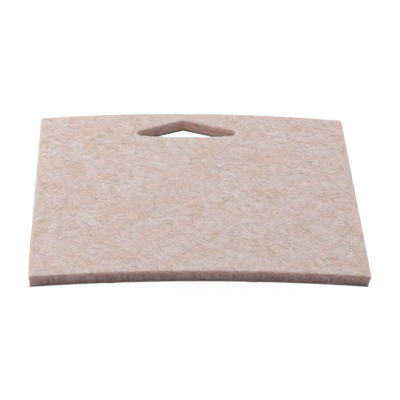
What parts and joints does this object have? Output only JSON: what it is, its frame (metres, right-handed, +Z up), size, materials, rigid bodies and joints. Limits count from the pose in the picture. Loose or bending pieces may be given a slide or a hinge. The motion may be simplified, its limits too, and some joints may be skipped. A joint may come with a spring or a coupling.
{
  "type": "felt furniture slider pad",
  "caption": "Arched oblong self-adhesive felt slider pad with a roof-shaped hang hole, lying on its release liner; stuck under furniture so that it slides on the floor.",
  "frame": {"origin": "under the middle of the pad, on the surface that the liner's side edges rest on", "axes": "+X along the width, +Y from the front edge to the back edge with the hang hole, +Z up out of the felt face"},
  "size_m": [0.152, 0.108, 0.0105],
  "materials": {
    "felt": "matte",
    "adhesive": "gloss",
    "tissue": "matte",
    "liner": "satin"
  },
  "bodies": {
    "liner": {"release_liner": "liner"},
    "pad": {"felt_pad": "felt", "felt_side_adhesive": "adhesive", "carrier_tissue": "tissue", "mounting_adhesive": "adhesive"}
  },
  "joints": [
    {"name": "liner_peel", "type": "hinge", "parent": "liner", "child": "pad", "pos_m": [-0.07535, 0, 0.0002], "axis": [0, -1, 0], "range_deg": [0, 80]}
  ]
}
